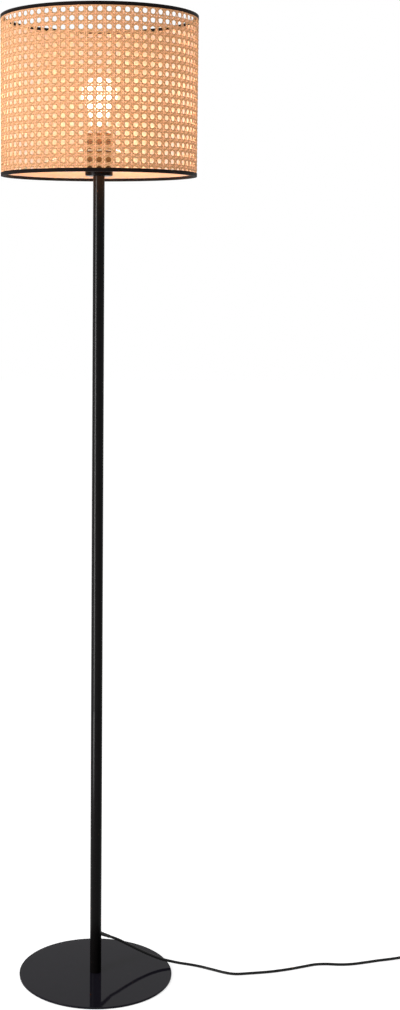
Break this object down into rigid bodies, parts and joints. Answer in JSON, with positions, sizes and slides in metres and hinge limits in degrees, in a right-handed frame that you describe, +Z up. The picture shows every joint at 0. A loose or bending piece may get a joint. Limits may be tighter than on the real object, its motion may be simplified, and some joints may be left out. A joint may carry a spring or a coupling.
{
  "type": "rattan floor lamp",
  "caption": "Floor lamp with a drum shade of cane webbing on a slim black pole, a round flat base, a screw lampholder with a bulb, and a mains cord with a foot switch.",
  "frame": {"origin": "centre of the base's underside, on the floor", "axes": "+Z up along the pole's axis; +X to the picture's right, where the cord runs off; +Y away from the picture's camera"},
  "size_m": [0.8276, 0.305, 1.5],
  "materials": {
    "base_paint": "gloss black paint",
    "pole_paint": "satin black paint",
    "rim_trim": "matt black edging",
    "rim_wire": "black coated wire",
    "white_enamel": "white enamel",
    "cane": "natural woven cane, left unvarnished",
    "plated_steel": "zinc-plated steel",
    "brass": "plain brass",
    "holder_plastic": "moulded black thermoset",
    "switch_plastic": "black, lightly textured",
    "button_plastic": "gloss black",
    "ceramic": "glazed off-white ceramic",
    "frosted_glass": "frosted, lit from inside",
    "clear_glass": "clear",
    "cap_metal": "rolled thread",
    "cap_insulator": "black glass insulator",
    "filament": "glowing warm white",
    "cord_sheath": "smooth black sheath",
    "black_rubber": "matt black",
    "base_rubber": "matt grey-black foam rubber",
    "brown_insulation": "brown wire insulation",
    "blue_insulation": "blue wire insulation"
  },
  "bodies": {
    "lamp": {"base_pad": "base_rubber", "base_plate": "base_paint", "base_screw": "plated_steel", "pole_foot_plug": "plated_steel", "pole_lower": "pole_paint", "pole_middle": "pole_paint", "pole_upper": "pole_paint", "middle_coupler": "plated_steel", "upper_coupler": "plated_steel", "pole_head_plug": "plated_steel", "cord_bushing": "black_rubber", "inner_cord": "cord_sheath", "live_wire": "brown_insulation", "neutral_wire": "blue_insulation", "nipple": "plated_steel", "nipple_nut": "plated_steel", "holder_cup": "pole_paint", "holder_base": "holder_plastic", "holder_body": "holder_plastic", "terminal_block": "ceramic", "screw_shell": "brass", "centre_contact": "brass", "shade_retaining_ring": "holder_plastic", "terminal_screw_1": "plated_steel", "terminal_screw_2": "plated_steel", "bulb_glass": "frosted_glass", "bulb_cap": "cap_metal", "bulb_contact": "cap_insulator", "bulb_stem": "clear_glass", "bulb_filament": "filament", "cane_shade": "cane", "top_wire_ring": "rim_wire", "bottom_wire_ring": "rim_wire", "top_trim": "rim_trim", "bottom_trim": "rim_trim", "shade_fitter": "white_enamel", "cord_lead": "cord_sheath", "switch_pad": "black_rubber", "switch_base": "switch_plastic", "switch_cover": "switch_plastic", "switch_spring": "plated_steel", "switch_contact_block": "ceramic", "switch_boot_in": "black_rubber", "switch_boot_out": "black_rubber", "switch_screw_1": "plated_steel", "switch_screw_2": "plated_steel", "cord_link": "cord_sheath", "cord_coil": "cord_sheath", "coil_tie": "black_rubber", "cord_tail": "cord_sheath", "plug_body": "switch_plastic", "plug_boot": "black_rubber", "plug_pin_1": "brass", "plug_pin_2": "brass"},
    "button": {"switch_button": "button_plastic"}
  },
  "joints": [
    {"name": "switch_press", "type": "slide", "parent": "lamp", "child": "button", "axis": [0, 0, -1], "range_m": [0, 0.0035], "stiffness_N_per_m": 400, "springref_m": -0.002, "deforming": ["switch_spring"]}
  ]
}
